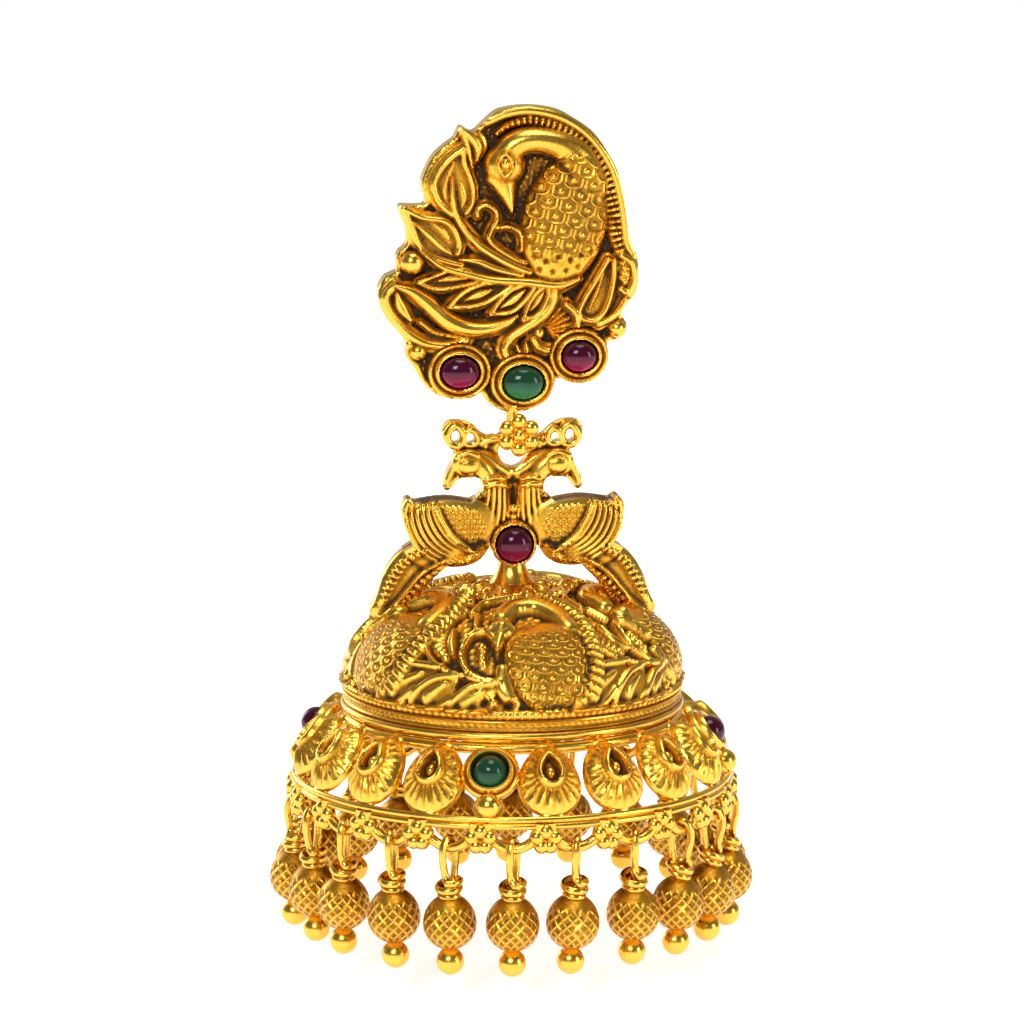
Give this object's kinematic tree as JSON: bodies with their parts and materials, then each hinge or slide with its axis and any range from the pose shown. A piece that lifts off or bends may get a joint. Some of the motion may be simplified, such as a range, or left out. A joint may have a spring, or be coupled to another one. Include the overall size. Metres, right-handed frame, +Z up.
{
  "type": "jhumka earring",
  "caption": "Temple jhumka drop earring: cast peacock stud, twin-bird link and a hollow domed bell with a pierced skirt and a fringe of bead drops.",
  "frame": {"origin": "foot of the ear post on the back face of the stud, where the earring sits on the ear lobe", "axes": "+Z up, +Y backwards along the ear post, the decorated front faces -Y, +X to the right seen from the front"},
  "size_m": [0.0408, 0.0408, 0.069],
  "materials": {
    "antique_gold": "matt gold plating on cast brass, dark patina in the recesses",
    "ruby_cabochon": "polished",
    "emerald_cabochon": "polished"
  },
  "bodies": {
    "root": {"stud_plaque": "antique_gold", "ear_post": "antique_gold", "stud_ruby_left": "ruby_cabochon", "stud_emerald": "emerald_cabochon", "stud_ruby_right": "ruby_cabochon"},
    "drop": {"twin_peacock_link": "antique_gold", "link_ruby": "ruby_cabochon", "bell_dome": "antique_gold", "skirt": "antique_gold", "skirt_emerald": "emerald_cabochon", "skirt_ruby_right": "ruby_cabochon", "skirt_ruby_back": "ruby_cabochon", "skirt_ruby_left": "ruby_cabochon", "drop_pins": "antique_gold", "drop_bead_01": "antique_gold", "drop_bead_02": "antique_gold", "drop_bead_03": "antique_gold", "drop_bead_04": "antique_gold", "drop_bead_05": "antique_gold", "drop_bead_06": "antique_gold", "drop_bead_07": "antique_gold", "drop_bead_08": "antique_gold", "drop_bead_09": "antique_gold", "drop_bead_10": "antique_gold", "drop_bead_11": "antique_gold", "drop_bead_12": "antique_gold", "drop_bead_13": "antique_gold", "drop_bead_14": "antique_gold", "drop_bead_15": "antique_gold", "drop_bead_16": "antique_gold", "drop_bead_17": "antique_gold", "drop_bead_18": "antique_gold", "drop_bead_19": "antique_gold", "drop_bead_20": "antique_gold", "drop_bead_21": "antique_gold", "drop_bead_22": "antique_gold"}
  },
  "joints": [
    {"name": "drop_swing", "type": "hinge", "parent": "root", "child": "drop", "pos_m": [0, -0.0015, -0.01813], "axis": [0, 1, 0], "range_deg": [-18, 18]}
  ]
}
